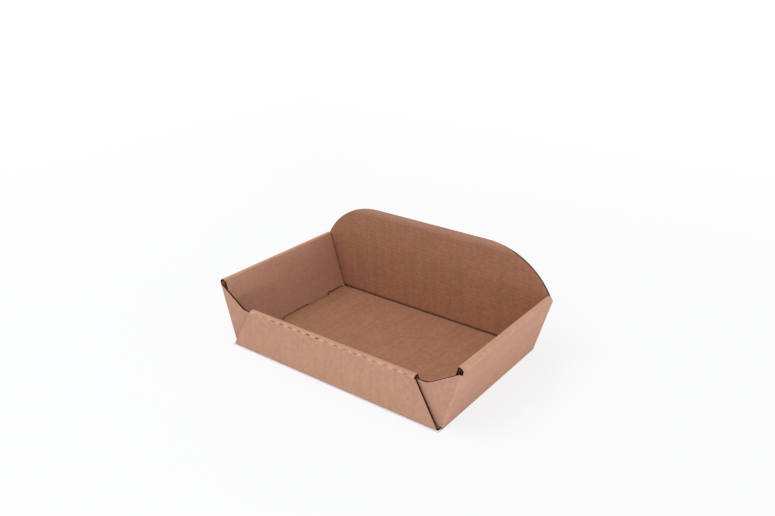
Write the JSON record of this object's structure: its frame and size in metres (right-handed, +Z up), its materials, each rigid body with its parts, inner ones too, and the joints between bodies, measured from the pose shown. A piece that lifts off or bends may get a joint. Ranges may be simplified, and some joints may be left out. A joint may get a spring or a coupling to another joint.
{
  "type": "tray box",
  "caption": "Open tray folded from corrugated board: low perforated front wall, slanted rolled side walls, tall round-cornered header at the back.",
  "frame": {"origin": "middle of the tray's plan, at the floor panel's underside", "axes": "+X to the right along the front wall, +Y from the front wall to the header, +Z up"},
  "size_m": [0.209, 0.1279, 0.0788],
  "materials": {
    "kraft_board": "uncoated brown kraft liner"
  },
  "bodies": {
    "root": {"folded_tray": "kraft_board"}
  },
  "joints": []
}
